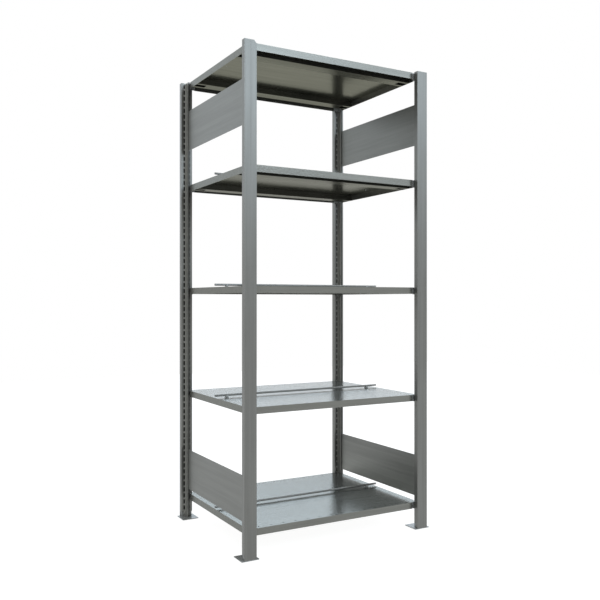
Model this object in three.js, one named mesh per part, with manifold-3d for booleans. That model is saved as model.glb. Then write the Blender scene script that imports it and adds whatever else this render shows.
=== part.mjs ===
// Double sided library shelving: one free-standing bay of galvanised boltless shelving.
// Four T-section posts on foot plates carry five shelves on hooked clips. Side panels brace each end,
// and a stop rod along the middle of each lower shelf parts its front half from its back half.
// Millimetres, +Z up, +X to the right, +Y to the rear, origin on the floor at the middle of the bay.
import * as THREE from "three";
import { mergeVertices } from "three/addons/utils/BufferGeometryUtils.js";
import Module from "manifold-3d";

// Overall sizes
const BAY_WIDTH = 750; // between the centres of the left and right posts
const DEPTH = 632; // over the outer faces of the front and rear posts
const POST_LENGTH = 1800;
const LEVEL_COUNT = 5;

// Running gap between pieces that seat on each other
const GAP = 0.3;

// Post: one folded sheet, a hollow flange outside and a double web inside
const FLANGE_WIDTH = 47;
const FLANGE_DEPTH = 20;
const POST_DEPTH = 45;
const WEB_WIDTH = 6;
const POST_SHEET = 1.5;
const GROOVE_WIDTH = 3;
const GROOVE_DEPTH = 0.15;
const CHAMFER_WIDTH = 10;
const CHAMFER_HEIGHT = 11;
const RELIEF_WIDTH = 11; // cut at the foot of the flange's two inner corners
const RELIEF_DEPTH = 12;
const RELIEF_HEIGHT = 18;

// Slots in the inner face of the flange, one row on each side of the web
const SLOT_PITCH = 25;
const SLOT_WIDTH = 6.5;
const SLOT_HEIGHT = 18;
const SLOT_FROM_EDGE = 12.3; // slot centre to the flange's edge
const FIRST_SLOT_DROP = 14; // post top to the centre of the first slot
const LAST_SLOT_MARGIN = 20; // least metal below the last slot
const SLOTS_BELOW_LOWEST = 2; // free slots under the lowest shelf

// Foot: flat plate with a tubular spigot inside the flange
const PLATE_THICKNESS = 3;
const PLATE_OVERHANG = 10; // past each side of the flange
const PLATE_DEPTH = 66;
const SPIGOT_HEIGHT = 25;
const SPIGOT_WALL = 2;

// Side panel: one sheet whose ends sit in the pocket between the two layers of the post web
const PANEL_SHEET = 1;
const PANEL_HEIGHT = 163.5;
const PANEL_END_MARGIN = 120.3; // floor to the lower panel, and upper panel to the post top
const POCKET_MARGIN = 2; // panel end to the bottom of the pocket

// Shelf: folded tray with lips down, stepped in at each corner to clear the clips
const SHELF_SHEET = 1.2;
const SHELF_HEIGHT = 25;
const SHELF_SETBACK = 3.4; // lip to the inner face of the flange
const CORNER_LENGTH = 27.5;
const CORNER_STEP = 4;
const PERFORATION_DIAMETER = 4.6;
const PERFORATION_SIDES = 6;
const PERFORATION_PITCH = 50;
const PERFORATION_INSET = 16;
const PERFORATION_END_MARGIN = 30; // least distance from the last hole to the shelf's end

// Stiffener: hat section under the shelf, flush with the bottom of the lips
const STIFFENER_SHEET = 1.2;
const STIFFENER_WIDTH = 54;
const STIFFENER_FLANGE = 8;
const STIFFENER_INSET = 54; // lip to the near side of the hat
const STIFFENER_CUT_WIDTH = 29; // cut-out in the hat's bottom at each end
const STIFFENER_CUT_LENGTH = 43;

// Shelf clip: bent plate with a ledge under the shelf and a hook through one slot
const CLIP_SHEET = 2;
const CLIP_WEB_GAP = 1.2;
const CLIP_OVERLAP = 3.75; // plate past the outer side of the slot
const CLIP_REACH = 38; // outer face of the post to the end of the ledge
const CLIP_TOP_DROP = 3; // plate top below the shelf top
const HOOK_WIDTH = 5.5;
const HOOK_HEIGHT = 11;
const HOOK_DROP = 5;
const HOOK_THICKNESS = 1.5;

// Stop: round rod in the cradles of two supports whose pegs plug into the shelf
const ROD_DIAMETER = 8;
const ROD_SIDES = 16;
const ROD_LIFT = 9; // shelf top to the rod's axis
const ROD_END_GAP = 0.4; // rod end to the plane of the side panels
const SUPPORT_SPACING = 650;
const SUPPORT_WALL = 1.7; // beside the lower half of the rod
const SUPPORT_WIDTH = 8;
const BASE_DIAMETER = 17;
const BASE_THICKNESS = 2.5;
const PEG_DIAMETER = 5;
const PEG_LENGTH = 6;
const ROUND_SIDES = 12;

// What follows from the sizes above
const CUT_MARGIN = 1; // how far a cutter runs past the face it opens
const postBottom = PLATE_THICKNESS + GAP;
const postTop = postBottom + POST_LENGTH;
const pocketWidth = WEB_WIDTH - 2 * POST_SHEET;
const slotX = FLANGE_WIDTH / 2 - SLOT_FROM_EDGE;
const slotRun = POST_LENGTH - FIRST_SLOT_DROP - SLOT_HEIGHT / 2 - LAST_SLOT_MARGIN;
const slotCount = Math.floor(slotRun / SLOT_PITCH) + 1;
const slotsPerLevel = Math.floor((slotCount - 1 - SLOTS_BELOW_LOWEST) / (LEVEL_COUNT - 1));
const shelfHalfX = (BAY_WIDTH - WEB_WIDTH) / 2 - GAP;
const shelfHalfY = DEPTH / 2 - FLANGE_DEPTH - SHELF_SETBACK;
const panelOuter = pocketWidth / 2 - GAP; // faces of the panel, outward from the post centre
const panelInner = panelOuter - PANEL_SHEET;

const slotHeight = (index) => postTop - FIRST_SLOT_DROP - index * SLOT_PITCH;
const levelHeight = (level) => slotHeight(level * slotsPerLevel);

const wasm = await Module();
wasm.setup();

// Solids: three.js geometry joined and cut

function solid(geometry) {
  const bare = new THREE.BufferGeometry();
  bare.setAttribute("position", geometry.getAttribute("position"));
  bare.setIndex(geometry.index);
  const merged = mergeVertices(bare, 1e-4);
  const vertProperties = merged.getAttribute("position").array;
  const triVerts = new Uint32Array(merged.index.array);
  return new wasm.Manifold(new wasm.Mesh({ numProp: 3, vertProperties, triVerts }));
}

function geometryOf(body) {
  const mesh = body.getMesh();
  const geometry = new THREE.BufferGeometry();
  geometry.setAttribute("position", new THREE.BufferAttribute(mesh.vertProperties, 3));
  geometry.setIndex(new THREE.BufferAttribute(mesh.triVerts, 1));
  geometry.computeVertexNormals();
  return geometry;
}

function block([x0, x1], [y0, y1], [z0, z1]) {
  const geometry = new THREE.BoxGeometry(x1 - x0, y1 - y0, z1 - z0);
  return solid(geometry.translate((x0 + x1) / 2, (y0 + y1) / 2, (z0 + z1) / 2));
}

function extruded(outline, length) {
  const shape = new THREE.Shape(outline.map(([u, v]) => new THREE.Vector2(u, v)));
  return new THREE.ExtrudeGeometry(shape, { depth: length, bevelEnabled: false });
}

// An (x, y) outline raised from z0 to z1
function upright(outline, [z0, z1]) {
  return solid(extruded(outline, z1 - z0).translate(0, 0, z0));
}

// A (y, z) outline run along X from x0 to x1
function alongX(outline, [x0, x1]) {
  const turn = new THREE.Matrix4().makeBasis(
    new THREE.Vector3(0, 1, 0),
    new THREE.Vector3(0, 0, 1),
    new THREE.Vector3(1, 0, 0),
  );
  return solid(extruded(outline, x1 - x0).applyMatrix4(turn).translate(x0, 0, 0));
}

function upCylinder(diameter, sides, [x, y], [z0, z1]) {
  const geometry = new THREE.CylinderGeometry(diameter / 2, diameter / 2, z1 - z0, sides);
  return solid(geometry.rotateX(Math.PI / 2).translate(x, y, (z0 + z1) / 2));
}

function crossCylinder(diameter, sides, [x0, x1], [y, z]) {
  const geometry = new THREE.CylinderGeometry(diameter / 2, diameter / 2, x1 - x0, sides);
  return solid(geometry.rotateZ(Math.PI / 2).translate((x0 + x1) / 2, y, z));
}

const union = (bodies) => bodies.reduce((sum, body) => sum.add(body));

// Finishes

function steel(color, roughness) {
  return new THREE.MeshStandardMaterial({ color, roughness, metalness: 0.9, flatShading: true });
}

const finishes = {
  post: steel(0x8d9294, 0.4),
  foot: steel(0x9a9f9f, 0.4),
  panel: steel(0x8b9092, 0.4),
  shelf: steel(0xa4abac, 0.3),
  stiffener: steel(0x8a8b84, 0.4),
  clip: steel(0x6f7576, 0.5),
  rod: steel(0x7c8182, 0.35),
  support: steel(0x868b8b, 0.45),
};

function piece(name, geometry, finish) {
  const mesh = new THREE.Mesh(geometry, finishes[finish]);
  mesh.name = name;
  return mesh;
}

// Post, in its own frame: x across the flange, y from the outer face inwards, z up from the floor

function mirrored(half) {
  const other = half.map(([x, y]) => [-x, y]).reverse();
  return [...half, ...other];
}

function postOutline() {
  return mirrored([
    [0, GROOVE_DEPTH],
    [GROOVE_WIDTH / 2, 0],
    [FLANGE_WIDTH / 2, 0],
    [FLANGE_WIDTH / 2, FLANGE_DEPTH],
    [WEB_WIDTH / 2, FLANGE_DEPTH],
    [WEB_WIDTH / 2, POST_DEPTH],
    [pocketWidth / 2, POST_DEPTH],
    [pocketWidth / 2, FLANGE_DEPTH - POST_SHEET],
    [FLANGE_WIDTH / 2 - POST_SHEET, FLANGE_DEPTH - POST_SHEET],
    [FLANGE_WIDTH / 2 - POST_SHEET, POST_SHEET],
  ]).slice(0, -1);
}

function slots() {
  const through = [FLANGE_DEPTH - POST_SHEET - CUT_MARGIN, FLANGE_DEPTH + CUT_MARGIN];
  const cuts = [];
  for (const side of [-1, 1]) {
    const across = [side * slotX - SLOT_WIDTH / 2, side * slotX + SLOT_WIDTH / 2];
    for (let i = 0; i < slotCount; i++) {
      const middle = slotHeight(i);
      cuts.push(block(across, through, [middle - SLOT_HEIGHT / 2, middle + SLOT_HEIGHT / 2]));
    }
  }
  return union(cuts);
}

function reliefs() {
  const edge = FLANGE_WIDTH / 2;
  const inward = [FLANGE_DEPTH - RELIEF_DEPTH, FLANGE_DEPTH + CUT_MARGIN];
  const up = [postBottom - CUT_MARGIN, postBottom + RELIEF_HEIGHT];
  return union([
    block([edge - RELIEF_WIDTH, edge + CUT_MARGIN], inward, up),
    block([-edge - CUT_MARGIN, RELIEF_WIDTH - edge], inward, up),
  ]);
}

// Corner cut off the top of the flange, on the +x side
function topChamfer() {
  const edge = FLANGE_WIDTH / 2;
  const corner = [
    [edge - CHAMFER_WIDTH, postTop],
    [edge - CHAMFER_WIDTH, postTop + CUT_MARGIN],
    [edge + CUT_MARGIN, postTop + CUT_MARGIN],
    [edge + CUT_MARGIN, postTop - CHAMFER_HEIGHT],
    [edge, postTop - CHAMFER_HEIGHT],
  ];
  const turn = new THREE.Matrix4().makeBasis(
    new THREE.Vector3(1, 0, 0),
    new THREE.Vector3(0, 0, 1),
    new THREE.Vector3(0, -1, 0),
  );
  const length = FLANGE_DEPTH + 2 * CUT_MARGIN;
  return solid(extruded(corner, length).applyMatrix4(turn).translate(0, FLANGE_DEPTH + CUT_MARGIN, 0));
}

const plainPost = upright(postOutline(), [postBottom, postTop]).subtract(slots()).subtract(reliefs());
const plainPostGeometry = geometryOf(plainPost);
const chamferedPostGeometry = geometryOf(plainPost.subtract(topChamfer()));

// Foot, in the frame of its post

function footGeometry() {
  const halfPlate = FLANGE_WIDTH / 2 + PLATE_OVERHANG;
  const plate = block([-halfPlate, halfPlate], [0, PLATE_DEPTH], [0, PLATE_THICKNESS]);
  const halfTube = FLANGE_WIDTH / 2 - POST_SHEET - GAP;
  const near = POST_SHEET + GAP;
  const far = FLANGE_DEPTH - POST_SHEET - GAP;
  const top = PLATE_THICKNESS + SPIGOT_HEIGHT;
  const tube = block([-halfTube, halfTube], [near, far], [0, top]);
  const bore = block(
    [SPIGOT_WALL - halfTube, halfTube - SPIGOT_WALL],
    [near + SPIGOT_WALL, far - SPIGOT_WALL],
    [PLATE_THICKNESS, top + CUT_MARGIN],
  );
  return geometryOf(plate.add(tube).subtract(bore));
}

// Clip, in the frame of its post, with z from the middle of its slot; side is where the shelf lies

function clipGeometry(side) {
  const near = side * (WEB_WIDTH / 2 + CLIP_WEB_GAP);
  const far = side * (slotX + SLOT_WIDTH / 2 + CLIP_OVERLAP);
  const front = FLANGE_DEPTH + GAP;
  const ledgeTop = -SHELF_HEIGHT / 2 - GAP;
  const plateTop = SHELF_HEIGHT / 2 - CLIP_TOP_DROP;
  const plate = [
    [front, ledgeTop - CLIP_SHEET],
    [CLIP_REACH, ledgeTop - CLIP_SHEET],
    [CLIP_REACH, ledgeTop],
    [front + CLIP_SHEET, ledgeTop],
    [front + CLIP_SHEET, plateTop],
    [front, plateTop],
  ];
  const neckBottom = GAP - SLOT_HEIGHT / 2;
  const neckTop = neckBottom + HOOK_HEIGHT;
  const toothFront = FLANGE_DEPTH - POST_SHEET - GAP;
  const hook = [
    [front + CLIP_SHEET / 2, neckBottom],
    [front + CLIP_SHEET / 2, neckTop],
    [toothFront - HOOK_THICKNESS, neckTop],
    [toothFront - HOOK_THICKNESS, neckBottom - HOOK_DROP],
    [toothFront, neckBottom - HOOK_DROP],
    [toothFront, neckBottom],
  ];
  const hookMiddle = side * slotX;
  const plateBody = alongX(plate, [Math.min(near, far), Math.max(near, far)]);
  const hookBody = alongX(hook, [hookMiddle - HOOK_WIDTH / 2, hookMiddle + HOOK_WIDTH / 2]);
  return geometryOf(plateBody.add(hookBody));
}

// Shelf, with z from the bottom of its lips

// Plan of the tray with a step at each corner, for the given half sizes
function trayOutline(halfX, halfY) {
  const corner = [
    [halfX - CORNER_LENGTH, halfY],
    [halfX - CORNER_LENGTH, halfY - CORNER_STEP],
    [halfX - CORNER_STEP, halfY - CORNER_STEP],
    [halfX - CORNER_STEP, halfY - CORNER_LENGTH],
    [halfX, halfY - CORNER_LENGTH],
  ];
  const points = [];
  for (const [signX, signY] of [[1, -1], [1, 1], [-1, 1], [-1, -1]]) {
    const run = signX * signY < 0 ? corner : [...corner].reverse();
    points.push(...run.map(([x, y]) => [signX * x, signY * y]));
  }
  return points;
}

function shelfHoles() {
  const through = [SHELF_HEIGHT - SHELF_SHEET - CUT_MARGIN, SHELF_HEIGHT + CUT_MARGIN];
  const pitches = Math.floor((shelfHalfX - PERFORATION_END_MARGIN) / PERFORATION_PITCH - 0.5);
  const holes = [];
  for (const side of [-1, 1]) {
    const y = side * (shelfHalfY - PERFORATION_INSET);
    for (let i = -pitches - 1; i <= pitches; i++) {
      const x = (i + 0.5) * PERFORATION_PITCH;
      holes.push(upCylinder(PERFORATION_DIAMETER, PERFORATION_SIDES, [x, y], through));
    }
    const pegX = (side * SUPPORT_SPACING) / 2;
    holes.push(upCylinder(PEG_DIAMETER + 2 * GAP, ROUND_SIDES, [pegX, 0], through));
  }
  return union(holes);
}

function shelfGeometry() {
  const outside = upright(trayOutline(shelfHalfX, shelfHalfY), [0, SHELF_HEIGHT]);
  const innerPlan = trayOutline(shelfHalfX - SHELF_SHEET, shelfHalfY - SHELF_SHEET);
  const inside = upright(innerPlan, [-CUT_MARGIN, SHELF_HEIGHT - SHELF_SHEET]);
  return geometryOf(outside.subtract(inside).subtract(shelfHoles()));
}

function stiffenerGeometry() {
  const half = STIFFENER_WIDTH / 2;
  const height = SHELF_HEIGHT - SHELF_SHEET - GAP;
  const outline = [
    [-half - STIFFENER_FLANGE, height],
    [-half - STIFFENER_FLANGE, height - STIFFENER_SHEET],
    [-half, height - STIFFENER_SHEET],
    [-half, 0],
    [half, 0],
    [half, height - STIFFENER_SHEET],
    [half + STIFFENER_FLANGE, height - STIFFENER_SHEET],
    [half + STIFFENER_FLANGE, height],
    [half - STIFFENER_SHEET, height],
    [half - STIFFENER_SHEET, STIFFENER_SHEET],
    [STIFFENER_SHEET - half, STIFFENER_SHEET],
    [STIFFENER_SHEET - half, height],
  ];
  const reach = shelfHalfX - SHELF_SHEET - GAP;
  const across = [-STIFFENER_CUT_WIDTH / 2, STIFFENER_CUT_WIDTH / 2];
  const through = [-CUT_MARGIN, STIFFENER_SHEET + CUT_MARGIN];
  const cuts = union([
    block([-reach - CUT_MARGIN, STIFFENER_CUT_LENGTH - reach], across, through),
    block([reach - STIFFENER_CUT_LENGTH, reach + CUT_MARGIN], across, through),
  ]);
  return geometryOf(alongX(outline, [-reach, reach]).subtract(cuts));
}

// Stop, with z from the shelf's top

function rodGeometry() {
  const reach = BAY_WIDTH / 2 + panelInner - ROD_END_GAP;
  return geometryOf(crossCylinder(ROD_DIAMETER, ROD_SIDES, [-reach, reach], [0, ROD_LIFT]));
}

function supportGeometry() {
  const bore = ROD_DIAMETER + 2 * GAP;
  const cradle = bore + 2 * SUPPORT_WALL;
  const along = [-SUPPORT_WIDTH / 2, SUPPORT_WIDTH / 2];
  const baseTop = GAP + BASE_THICKNESS;
  const body = union([
    upCylinder(BASE_DIAMETER, ROUND_SIDES, [0, 0], [GAP, baseTop]),
    upCylinder(PEG_DIAMETER, ROUND_SIDES, [0, 0], [-PEG_LENGTH, baseTop]),
    block(along, [-cradle / 2, cradle / 2], [GAP, ROD_LIFT]),
  ]);
  const hole = [along[0] - CUT_MARGIN, along[1] + CUT_MARGIN];
  return geometryOf(body.subtract(crossCylinder(bore, ROD_SIDES, hole, [0, ROD_LIFT])));
}

// Side panel, in place; side is -1 on the left and 1 on the right

function panelGeometry(side, bottom) {
  const thick = [side * (BAY_WIDTH / 2 + panelInner), side * (BAY_WIDTH / 2 + panelOuter)];
  const end = DEPTH / 2 - FLANGE_DEPTH - POCKET_MARGIN;
  const across = [Math.min(...thick), Math.max(...thick)];
  return geometryOf(block(across, [-end, end], [bottom, bottom + PANEL_HEIGHT]));
}

// Assembly

const shelving = new THREE.Group();
const foot = footGeometry();
const clips = { "-1": clipGeometry(-1), 1: clipGeometry(1) };
const levels = Array.from({ length: LEVEL_COUNT }, (_, level) => level);

for (const [depthName, depthSide] of [["front", -1], ["rear", 1]]) {
  for (const [sideName, side] of [["left", -1], ["right", 1]]) {
    const corner = `${depthName}_${sideName}`;
    const stand = new THREE.Group();
    stand.position.set((side * BAY_WIDTH) / 2, (depthSide * DEPTH) / 2, 0);
    stand.rotation.z = depthSide < 0 ? 0 : Math.PI;
    const shelfSide = side * depthSide;
    const post = shelfSide > 0 ? chamferedPostGeometry : plainPostGeometry;
    stand.add(piece(`post_${corner}`, post, "post"));
    stand.add(piece(`foot_${corner}`, foot, "foot"));
    for (const level of levels) {
      const clip = piece(`shelf_${level + 1}_clip_${corner}`, clips[shelfSide], "clip");
      clip.position.z = levelHeight(level);
      stand.add(clip);
    }
    shelving.add(stand);
  }
}

for (const [sideName, side] of [["left", -1], ["right", 1]]) {
  const upper = postTop - PANEL_END_MARGIN - PANEL_HEIGHT;
  shelving.add(piece(`side_panel_${sideName}_upper`, panelGeometry(side, upper), "panel"));
  shelving.add(piece(`side_panel_${sideName}_lower`, panelGeometry(side, PANEL_END_MARGIN), "panel"));
}

const shelf = shelfGeometry();
const stiffener = stiffenerGeometry();
const rod = rodGeometry();
const support = supportGeometry();

for (const level of levels) {
  const name = `shelf_${level + 1}`;
  const tray = new THREE.Group();
  tray.position.z = levelHeight(level) - SHELF_HEIGHT / 2;
  tray.add(piece(name, shelf, "shelf"));
  for (const [depthName, depthSide] of [["front", -1], ["rear", 1]]) {
    const hat = piece(`${name}_stiffener_${depthName}`, stiffener, "stiffener");
    hat.position.y = depthSide * (shelfHalfY - STIFFENER_INSET - STIFFENER_WIDTH / 2);
    tray.add(hat);
  }
  if (level > 0) {
    const stop = new THREE.Group();
    stop.position.z = SHELF_HEIGHT;
    stop.add(piece(`stop_${level + 1}_rod`, rod, "rod"));
    for (const [sideName, side] of [["left", -1], ["right", 1]]) {
      const holder = piece(`stop_${level + 1}_support_${sideName}`, support, "support");
      holder.position.x = (side * SUPPORT_SPACING) / 2;
      stop.add(holder);
    }
    tray.add(stop);
  }
  shelving.add(tray);
}

export default shelving;
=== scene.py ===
"""Looks for one bay of double sided library shelving: galvanised steel in a plain white studio."""
import math

import bpy
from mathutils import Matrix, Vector

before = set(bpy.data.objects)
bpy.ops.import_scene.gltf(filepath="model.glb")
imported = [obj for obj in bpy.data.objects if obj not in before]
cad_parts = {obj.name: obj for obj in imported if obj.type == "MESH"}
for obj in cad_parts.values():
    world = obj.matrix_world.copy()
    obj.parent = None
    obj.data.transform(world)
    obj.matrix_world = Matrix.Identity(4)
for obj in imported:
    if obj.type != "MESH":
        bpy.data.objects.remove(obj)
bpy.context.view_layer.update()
scene = bpy.context.scene
scene.view_settings.view_transform = "Standard"

# Camera, in metres, degrees and millimetres of film
CAMERA_PLACE = (-1.496, -2.6445, 0.901)
CAMERA_YAW = -29.49
CAMERA_PITCH = 90.02
CAMERA_LENS = 44.8
CAMERA_SENSOR = 36.0

# Sheet steel: details per metre across the rolling direction, along it, and in any direction
FINE_STREAKS = 520.0
BROAD_STREAKS = 60.0
STREAKS_ALONG = 2.5
CLOUDS = 6.0
GRAINS = 420.0
SPANGLES = 190.0
# How rough each noise is, and the values that most of it lies between
NOISE_ROUGHNESS = 0.55
NOISE_LOW = 0.3
NOISE_HIGH = 0.7
# How far clouds and streaks change the roughness, and the height of the relief in metres
CLOUD_ROUGHNESS = 0.03
STREAK_ROUGHNESS = 0.02
RELIEF_HEIGHT = 0.0002
METALLIC = 0.6
# Reflection at a glancing angle
BRIGHT_RIM = (0.88, 0.90, 0.92)
SHELF_RIM = (0.50, 0.53, 0.525)
TOP_RIM = (0.49, 0.52, 0.52)
DULL_RIM = (0.4, 0.4, 0.36)

# Factors for painted shade and painted light in the colour of some places on a piece
HOLLOW_PAINTED_SHADE = 0.3
CORNER_PAINTED_LIGHT = 2.0
LOW_PANEL_PAINTED_LIGHT = 1.45
HOLE_PAINTED_SHADE = 0.2
# A post's section, in metres: where it stands, its flange tube, its web, half of its sheet,
# and how far the painted light in the corner reaches from the middle of the web
POST_X = 0.375
POST_FACE_Y = 0.316
POST_DEPTH = 0.045
FLANGE_WIDTH = 0.047
FLANGE_DEPTH = 0.020
WEB_WIDTH = 0.006
HALF_SHEET = 0.00075
CORNER_REACH = 0.0128
# A side panel, in metres: the middle of its sheet, and the heights between which painted light makes a
# lower one paler
PANEL_MIDDLE_X = 0.3757
LOW_PANEL_TOP = 0.22
LOW_PANEL_BOTTOM = 0.13
# The rows of punched holes in a shelf's top, and the rings of painted shade round them, in metres
HOLE_PITCH = 0.050
LAST_HOLE_X = 0.325
HOLE_ROW_Y = 0.2766
HOLE_RADIUS = 0.0023
HOLE_RING = 0.0055

# A face looks up or down where its normal rises or falls more than this
STEEP = 0.5
# A shelf's walls smaller than these, in square metres, line a punched hole or a stepped corner
HOLE_FACE = 5e-6
CORNER_FACE = 4e-4
# Turned pieces are shaded smooth up to this angle between faces, in degrees, and edges past it are rounded
ROUND_KINDS = ("rod", "support")
SHARP_ANGLE = 40.0
# Rounding of the edges of each kind of piece, in metres
EDGE_ROUNDING = {
    "post": 0.0004, "foot": 0.0005, "panel": 0.0002, "shelf": 0.0004,
    "stiffener": 0.0003, "clip": 0.0003, "rod": 0.0004, "support": 0.0004,
}
EDGE_SEGMENTS = 2

# Studio
WHITE = (1, 1, 1, 1)
AMBIENT = 0.5
FLOOR_SIZE = 12.0
FLOOR_DROP = 0.0004
FLOOR_COLOR = (0.3, 0.3, 0.3, 1)
FLOOR_GLOW = 0.93
SOFTBOX_COLOR = (0.72, 0.86, 1.0)
# Each softbox: its place, the point that it faces, its width and height in metres, and its brightness,
# where 1 is white
SOFTBOXES = {
    "softbox_rear": ((3.54, 6.26, 4.02), (0, 0, 4.02), (12.0, 4.57), 1.6),
    "softbox_rear_left": ((-2.06, 3.97, 2.75), (-0.375, 0, 2.75), (3.0, 2.2), 0.42),
    "softbox_front_left": ((1.45, -4.57, 3.4), (0, 0, 3.4), (2.1, 1.9), 3.5),
    "softbox_front_right": ((3.38, -3.33, 3.4), (0, 0, 3.4), (2.5, 1.9), 1.95),
    "softbox_front_low": ((2.5, -3.9, 2.1), (0, 0, 2.1), (4.6, 0.7), 0.75),
}


def add_camera():
    data = bpy.data.cameras.new("camera")
    data.lens = CAMERA_LENS
    data.sensor_width = CAMERA_SENSOR
    camera = bpy.data.objects.new("camera", data)
    camera.location = CAMERA_PLACE
    camera.rotation_euler = (math.radians(CAMERA_PITCH), 0, math.radians(CAMERA_YAW))
    scene.collection.objects.link(camera)
    scene.camera = camera


class Nodes:
    """A material's node tree, with short ways to add and join nodes."""

    def __init__(self, name):
        self.material = bpy.data.materials.new(name)
        self.material.use_nodes = True
        self.tree = self.material.node_tree
        self.shader = self.tree.nodes["Principled BSDF"]

    def add(self, kind, **values):
        node = self.tree.nodes.new(kind)
        for key, value in values.items():
            setattr(node, key, value)
        return node

    def join(self, source, target):
        self.tree.links.new(source, target)

    def noise(self, vector, scale, detail):
        node = self.add("ShaderNodeTexNoise")
        node.inputs["Scale"].default_value = scale
        node.inputs["Detail"].default_value = detail
        node.inputs["Roughness"].default_value = NOISE_ROUGHNESS
        self.join(vector, node.inputs["Vector"])
        return node.outputs["Fac"]

    def streaks(self, vector, along, across_scale, detail):
        """Noise drawn out along one axis."""
        node = self.add("ShaderNodeMapping")
        node.inputs["Scale"].default_value = [
            STREAKS_ALONG if axis == along else across_scale for axis in "xyz"]
        self.join(vector, node.inputs["Vector"])
        return self.noise(node.outputs["Vector"], 1.0, detail)

    def spread(self, value, low, high, to_low, to_high):
        node = self.add("ShaderNodeMapRange")
        names = ("From Min", "From Max", "To Min", "To Max")
        for name, number in zip(names, (low, high, to_low, to_high)):
            node.inputs[name].default_value = number
        self.join(value, node.inputs["Value"])
        return node.outputs["Result"]

    def vary(self, noise, middle, amount):
        """A noise brought to middle, give or take amount."""
        return self.spread(noise, NOISE_LOW, NOISE_HIGH, middle - amount, middle + amount)

    def factor(self, mask, tone):
        """1 where the mask is 0, and tone where it is 1."""
        return self.spread(mask, 0.0, 1.0, 1.0, tone)

    def math(self, operation, a, b=0.0):
        node = self.add("ShaderNodeMath", operation=operation)
        for socket, value in zip(node.inputs, (a, b)):
            if isinstance(value, (int, float)):
                socket.default_value = value
            else:
                self.join(value, socket)
        return node.outputs["Value"]

    def axes(self, vector):
        node = self.add("ShaderNodeSeparateXYZ")
        self.join(vector, node.inputs["Vector"])
        return node.outputs["X"], node.outputs["Y"], node.outputs["Z"]


def galvanised(name, color, roughness, along, rim=BRIGHT_RIM, streak=0.07, bands=0.07, mottle=0.04,
               speckle=0.03, bump=0.05, spangle=0.0, metallic=METALLIC, shade_map=None):
    """Zinc coated sheet: rolling streaks along one axis, cloudy patches and fine zinc speckle.
    shade_map is a function that gives a factor for the tone at each place on the piece, which paints shade
    and light into the colour."""
    n = Nodes(name)
    place = n.add("ShaderNodeTexCoord").outputs["Object"]
    fine = n.streaks(place, along, FINE_STREAKS, detail=3.0)
    broad = n.streaks(place, along, BROAD_STREAKS, detail=2.0)
    clouds = n.noise(place, CLOUDS, detail=4.0)
    grain = n.noise(place, GRAINS, detail=2.0)
    crystals = n.noise(place, SPANGLES, detail=1.0)

    tone = n.vary(fine, 1, streak)
    for noise, amount in ((broad, bands), (clouds, mottle), (grain, speckle)):
        tone = n.math("ADD", tone, n.vary(noise, 0, amount))
    if shade_map:
        tone = n.math("MULTIPLY", tone, shade_map(n, place))
    shade = n.add("ShaderNodeVectorMath", operation="SCALE")
    shade.inputs[0].default_value = color
    n.join(tone, shade.inputs["Scale"])
    n.join(shade.outputs["Vector"], n.shader.inputs["Base Color"])

    n.shader.inputs["Metallic"].default_value = metallic
    n.shader.inputs["Specular Tint"].default_value = (*rim, 1)
    sheen = n.math("ADD", n.vary(clouds, roughness, CLOUD_ROUGHNESS), n.vary(fine, 0, STREAK_ROUGHNESS))
    n.join(sheen, n.shader.inputs["Roughness"])

    relief = n.add("ShaderNodeBump")
    relief.inputs["Strength"].default_value = bump
    relief.inputs["Distance"].default_value = RELIEF_HEIGHT
    n.join(n.math("ADD", fine, n.math("MULTIPLY", crystals, spangle)), relief.inputs["Height"])
    n.join(relief.outputs["Normal"], n.shader.inputs["Normal"])
    return n.material


def post_painted_shade_and_light(n, place):
    """A post has painted shade inside its flange tube and web, and painted light in the corner between
    them.
    """
    x, y, _ = n.axes(place)
    from_middle = n.math("ABSOLUTE", n.math("SUBTRACT", POST_X, n.math("ABSOLUTE", x)))
    from_face = n.math("SUBTRACT", POST_FACE_Y, n.math("ABSOLUTE", y))
    behind_sheet = n.math("GREATER_THAN", from_face, HALF_SHEET)
    behind_flange = n.math("GREATER_THAN", from_face, FLANGE_DEPTH - HALF_SHEET)
    outside_web = n.math("GREATER_THAN", from_middle, WEB_WIDTH / 2 - HALF_SHEET)

    in_flange = n.math("MULTIPLY", n.math("SUBTRACT", behind_sheet, behind_flange),
                       n.math("LESS_THAN", from_middle, FLANGE_WIDTH / 2 - HALF_SHEET))
    in_web = n.math("MULTIPLY", behind_flange,
                    n.math("LESS_THAN", from_middle, WEB_WIDTH / 2 - HALF_SHEET))

    flange_back = n.math("MULTIPLY", behind_flange,
                         n.math("LESS_THAN", from_face, FLANGE_DEPTH + HALF_SHEET))
    near_web = n.math("MULTIPLY", outside_web, n.math("LESS_THAN", from_middle, CORNER_REACH))
    web_side = n.math("MULTIPLY", outside_web,
                      n.math("LESS_THAN", from_middle, WEB_WIDTH / 2 + HALF_SHEET))
    before_end = n.math("MULTIPLY", behind_flange,
                        n.math("LESS_THAN", from_face, POST_DEPTH - HALF_SHEET))
    corner = n.math("MAXIMUM", n.math("MULTIPLY", flange_back, near_web),
                    n.math("MULTIPLY", web_side, before_end))

    # Painted shade darkens the hollows, and painted light makes the inner corner paler
    dark = n.factor(n.math("MAXIMUM", in_flange, in_web), HOLLOW_PAINTED_SHADE)
    return n.math("MULTIPLY", dark, n.factor(corner, CORNER_PAINTED_LIGHT))


def panel_painted_light(n, place):
    """A lower panel gets paler towards its foot on the inner face, by painted light that stands for light
    from the shelf beside it.
    """
    x, _, z = n.axes(place)
    inner = n.math("LESS_THAN", n.math("ABSOLUTE", x), PANEL_MIDDLE_X)
    low = n.spread(z, LOW_PANEL_BOTTOM, LOW_PANEL_TOP, 1.0, 0.0)
    return n.factor(n.math("MULTIPLY", inner, low), LOW_PANEL_PAINTED_LIGHT)


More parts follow.
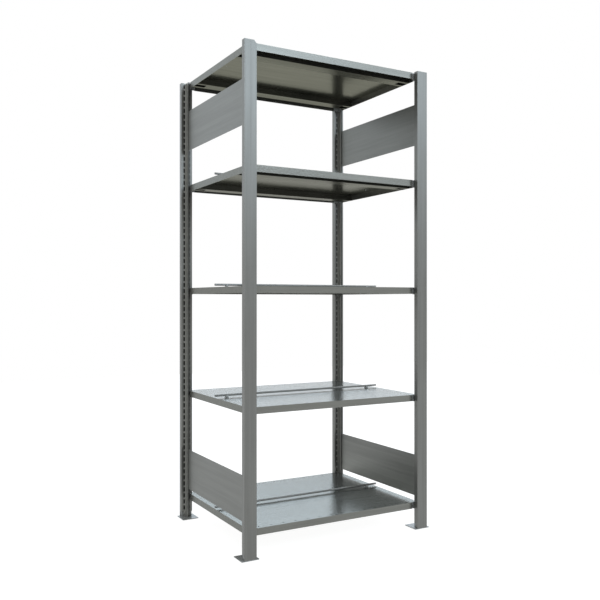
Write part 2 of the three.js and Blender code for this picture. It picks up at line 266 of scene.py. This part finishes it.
def top_painted_shade_rings(n, place):
    """A shelf's top has painted shade in a small ring round each punched hole, where the sheet dips."""
    x, y, _ = n.axes(place)
    half_pitch = HOLE_PITCH / 2
    across = n.math("SUBTRACT", half_pitch, n.math("PINGPONG", x, half_pitch))
    across = n.math("MAXIMUM", across, n.math("SUBTRACT", n.math("ABSOLUTE", x), LAST_HOLE_X))
    inward = n.math("SUBTRACT", n.math("ABSOLUTE", y), HOLE_ROW_Y)
    squares = n.math("ADD", n.math("MULTIPLY", across, across), n.math("MULTIPLY", inward, inward))
    return n.spread(n.math("POWER", squares, 0.5), HOLE_RADIUS, HOLE_RING, HOLE_PAINTED_SHADE, 1.0)


def kind_of(name):
    """The kind of piece that a node is, by its name."""
    for word in ("clip", "stiffener", "rod", "support", "panel"):
        if f"_{word}" in name:
            return word
    return name.split("_")[0]


def way_of(face, kind):
    """Whether a face looks up, down or aside. A shelf's small walls line a hole or a stepped corner."""
    if abs(face.normal.z) > STEEP:
        return "up" if face.normal.z > 0 else "down"
    if kind == "shelf" and face.area < HOLE_FACE:
        return "in a hole"
    if kind == "shelf" and face.area < CORNER_FACE:
        return "in a corner"
    return "aside"


def soften(node, width):
    bevel = node.modifiers.new("edges", "BEVEL")
    bevel.width = width
    bevel.segments = EDGE_SEGMENTS
    bevel.limit_method = "ANGLE"
    bevel.angle_limit = math.radians(SHARP_ANGLE)
    bevel.harden_normals = True


def dress_nodes():
    steel = {
        # The post's colour has painted shade in its hollows and painted light in its inner corners
        "post": galvanised("post_steel", (0.196, 0.199, 0.187), 0.34, "z", shade_map=post_painted_shade_and_light),
        "foot": galvanised("foot_steel", (0.360, 0.378, 0.375), 0.36, "x", streak=0.03, metallic=0.2),
        # A lower panel's inner face has painted light towards its foot
        "panel": galvanised("panel_steel", (0.212, 0.219, 0.204), 0.38, "y", streak=0.05,
                            bands=0.09, metallic=0.45, shade_map=panel_painted_light),
        "shelf": galvanised("shelf_steel", (0.220, 0.222, 0.203), 0.21, "x", SHELF_RIM, metallic=0.52,
                            speckle=0.12, bump=0.16, spangle=10.0),
        # The stiffener's olive colour is painted reflection of the ground, like the shelf's underside
        "stiffener": galvanised("stiffener_steel", (0.202, 0.204, 0.171), 0.28, "x", DULL_RIM,
                                bands=0.1, metallic=0.85),
        "clip": galvanised("clip_steel", (0.16, 0.165, 0.16), 0.40, "z", streak=0.03),
        "rod": galvanised("rod_steel", (0.25, 0.255, 0.245), 0.32, "x", streak=0.04),
        "support": galvanised("support_steel", (0.47, 0.49, 0.485), 0.40, "z", streak=0.03, metallic=0.3),
    }
    # Faces that differ from the rest of their piece, by the way that they face, with painted light,
    # painted shade or painted reflection in their colours
    facing = {
        # The top's colour is lighter than the sheet's sides: painted light from above
        ("shelf", "up"): galvanised("shelf_top_painted_light", (0.255, 0.262, 0.246), 0.13, "x", TOP_RIM,
                                    metallic=0.5, streak=0.12, speckle=0.3, bump=0.3, spangle=10.0,
                                    shade_map=top_painted_shade_rings),
        # The underside's darker olive colour is painted reflection of the ground
        ("shelf", "down"): galvanised("shelf_underside_painted_reflection", (0.234, 0.235, 0.198), 0.20, "x",
                                      DULL_RIM, bands=0.13, metallic=0.85),
        # The walls of a shelf's stepped corner are painted pale: painted light in a recess
        ("shelf", "in a corner"): galvanised("shelf_corner_painted_light", (0.54, 0.56, 0.555), 0.40, "x",
                                             streak=0.03, metallic=0.2),
        # The walls of the punched holes are painted near black: painted shade
        ("shelf", "in a hole"): galvanised("punched_hole_painted_shade", (0.03, 0.03, 0.03), 0.45, "z"),
        # A stiffener's side walls are painted dark: painted shade under the shelf
        ("stiffener", "aside"): galvanised("stiffener_wall_painted_shade", (0.08, 0.08, 0.07), 0.28, "x",
                                           DULL_RIM),
    }
    for name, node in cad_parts.items():
        kind = kind_of(name)
        node.data.materials.clear()
        node.data.materials.append(steel[kind])
        for (owner, way), material in facing.items():
            if owner == kind:
                node.data.materials.append(material)
                slot = len(node.data.materials) - 1
                for face in node.data.polygons:
                    if way_of(face, kind) == way:
                        face.material_index = slot
        if kind in ROUND_KINDS:
            node.data.shade_smooth()
            node.data.set_sharp_from_angle(angle=math.radians(SHARP_ANGLE))
        soften(node, EDGE_ROUNDING[kind])


def white_to_view(tree):
    """1 for rays that see the backdrop: from the camera, a reflection or a clear piece."""
    path = tree.nodes.new("ShaderNodeLightPath")
    total = path.outputs["Is Camera Ray"]
    for name in ("Is Glossy Ray", "Is Transmission Ray"):
        both = tree.nodes.new("ShaderNodeMath")
        both.operation = "MAXIMUM"
        tree.links.new(total, both.inputs[0])
        tree.links.new(path.outputs[name], both.inputs[1])
        total = both.outputs["Value"]
    return total


def add_world():
    world = bpy.data.worlds.new("studio")
    scene.world = world
    world.use_nodes = True
    tree = world.node_tree
    tree.nodes.clear()
    ambient = tree.nodes.new("ShaderNodeBackground")
    ambient.inputs["Strength"].default_value = AMBIENT
    ambient.inputs["Color"].default_value = WHITE
    white = tree.nodes.new("ShaderNodeBackground")
    white.inputs["Strength"].default_value = 1.0
    white.inputs["Color"].default_value = WHITE
    mix = tree.nodes.new("ShaderNodeMixShader")
    out = tree.nodes.new("ShaderNodeOutputWorld")
    tree.links.new(white_to_view(tree), mix.inputs["Fac"])
    tree.links.new(ambient.outputs["Background"], mix.inputs[1])
    tree.links.new(white.outputs["Background"], mix.inputs[2])
    tree.links.new(mix.outputs["Shader"], out.inputs["Surface"])


def add_floor():
    """A pale floor just under the feet, white to the camera and in reflections, that takes the shadow."""
    mesh = bpy.data.meshes.new("floor")
    half = FLOOR_SIZE / 2
    corners = [(x * half, y * half, -FLOOR_DROP) for x, y in ((-1, -1), (1, -1), (1, 1), (-1, 1))]
    mesh.from_pydata(corners, [], [(0, 1, 2, 3)])
    floor = bpy.data.objects.new("floor", mesh)
    scene.collection.objects.link(floor)
    n = Nodes("floor_white")
    n.tree.nodes.remove(n.shader)
    matte = n.add("ShaderNodeBsdfDiffuse")
    matte.inputs["Color"].default_value = FLOOR_COLOR
    glow = n.add("ShaderNodeEmission")
    glow.inputs["Color"].default_value = WHITE
    n.join(n.math("MULTIPLY", white_to_view(n.tree), FLOOR_GLOW), glow.inputs["Strength"])
    both = n.add("ShaderNodeAddShader")
    n.join(matte.outputs["BSDF"], both.inputs[0])
    n.join(glow.outputs["Emission"], both.inputs[1])
    n.join(both.outputs["Shader"], n.tree.nodes["Material Output"].inputs["Surface"])
    mesh.materials.append(n.material)


def add_softbox(name, place, aim, size, brightness):
    """A rectangular lamp whose face looks at aim."""
    data = bpy.data.lights.new(name, "AREA")
    data.shape = "RECTANGLE"
    data.size, data.size_y = size
    data.color = SOFTBOX_COLOR
    data.energy = brightness * math.pi * size[0] * size[1]
    lamp = bpy.data.objects.new(name, data)
    lamp.location = place
    lamp.rotation_euler = (Vector(aim) - Vector(place)).to_track_quat("-Z", "Y").to_euler()
    lamp.visible_camera = False
    scene.collection.objects.link(lamp)


add_camera()
add_world()
add_floor()
for softbox, settings in SOFTBOXES.items():
    add_softbox(softbox, *settings)
dress_nodes()
